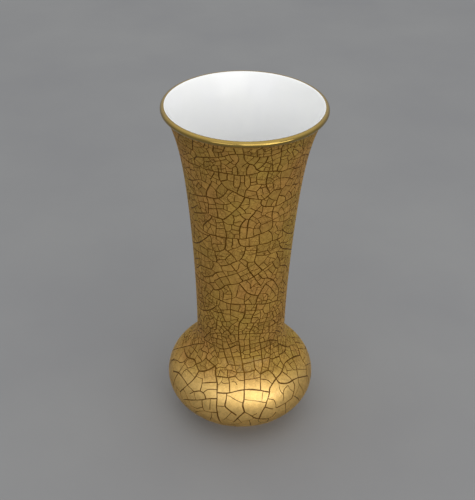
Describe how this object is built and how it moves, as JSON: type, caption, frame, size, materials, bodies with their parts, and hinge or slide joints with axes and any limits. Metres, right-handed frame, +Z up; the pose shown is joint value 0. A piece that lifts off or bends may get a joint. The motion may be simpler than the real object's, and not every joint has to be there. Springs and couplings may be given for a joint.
{
  "type": "crackle glaze vase",
  "caption": "Tall porcelain vase with a flared trumpet neck on a low round bulb, crackled gold glaze outside, white glaze inside and a gilded rolled lip.",
  "frame": {"origin": "on the vase's axis, at the plane that the foot ring stands on", "axes": "+Z up along the axis of revolution, towards the mouth; X and Y are equal, since the vase is round"},
  "size_m": [0.122, 0.122, 0.28],
  "materials": {
    "porcelain": "bare fired porcelain, matt and very fine grained, seen only on the foot ring",
    "dark_ground": "dark umber brown ground, matt, seen in the cracks of the gold",
    "crackle_gold": "antique gold, satin, broken into plates by a net of dark cracks, finer on the neck and coarser on the bulb",
    "rim_gold": "burnished gold band over the lip, polished",
    "white_glaze": "glossy white glaze on the inside",
    "clear_glaze": "clear glaze over white porcelain, in the hollow under the foot"
  },
  "bodies": {
    "root": {"porcelain_body": "porcelain", "ground_coat": "dark_ground", "crackle_gold_coat": "crackle_gold", "rim_gilding": "rim_gold", "inner_glaze": "white_glaze", "foot_glaze": "clear_glaze"}
  },
  "joints": []
}
